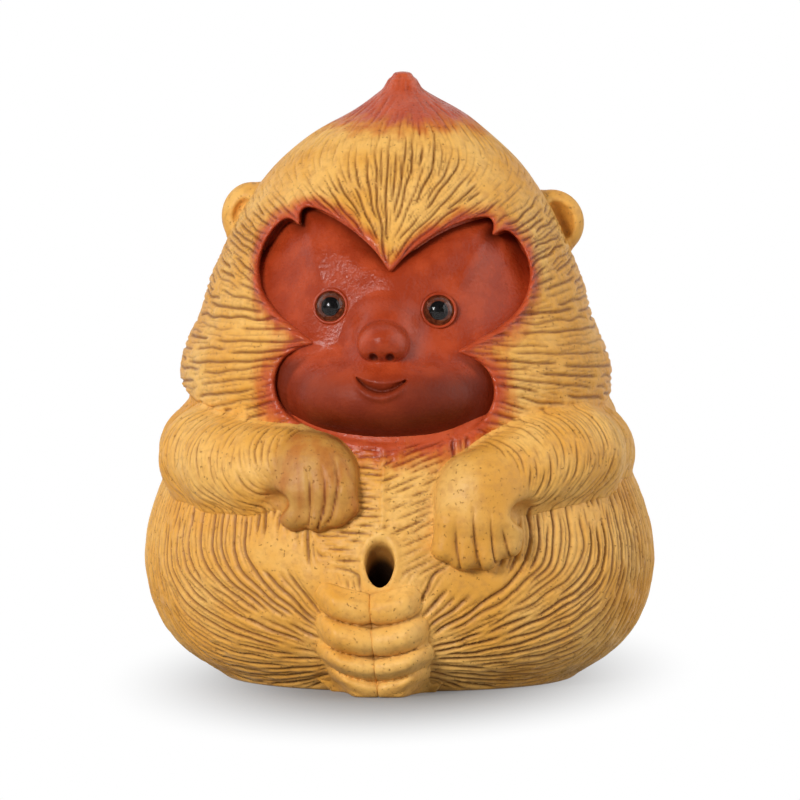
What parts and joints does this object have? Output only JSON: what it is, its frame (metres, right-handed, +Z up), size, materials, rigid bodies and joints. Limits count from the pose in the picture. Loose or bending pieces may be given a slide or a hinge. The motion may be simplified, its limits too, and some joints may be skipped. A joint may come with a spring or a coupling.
{
  "type": "monkey figurine",
  "caption": "Hollow seated clay monkey with a red face and crown tip, glass eyes, cupped ears, folded arms and a belly spout that squirts water on a tea tray.",
  "frame": {"origin": "middle of the underside, on the surface that the figure stands on", "axes": "+Z up, the face looks along -Y, +X to the right as seen from the front"},
  "size_m": [0.0784, 0.0735, 0.092],
  "materials": {
    "yellow_clay": "unglazed fired clay, matt, carved with fur strokes",
    "red_clay": "unglazed red clay, burnished to a soft gloss",
    "eye_glass": "clear polished dome",
    "iris_enamel": "amber brown enamel",
    "pupil_enamel": "black enamel"
  },
  "bodies": {
    "root": {"body_front": "yellow_clay", "body_back": "yellow_clay", "base_slab": "yellow_clay", "crown_tip": "red_clay", "face_mask": "red_clay", "muzzle": "red_clay", "nose": "red_clay", "ear_left": "yellow_clay", "ear_right": "yellow_clay", "arm_left": "yellow_clay", "arm_right": "yellow_clay", "foot_left": "yellow_clay", "foot_right": "yellow_clay", "eye_rim_left": "red_clay", "eye_rim_right": "red_clay", "eye_lens_left": "eye_glass", "eye_lens_right": "eye_glass", "eye_iris_left": "iris_enamel", "eye_iris_right": "iris_enamel", "eye_pupil_left": "pupil_enamel", "eye_pupil_right": "pupil_enamel"}
  },
  "joints": []
}
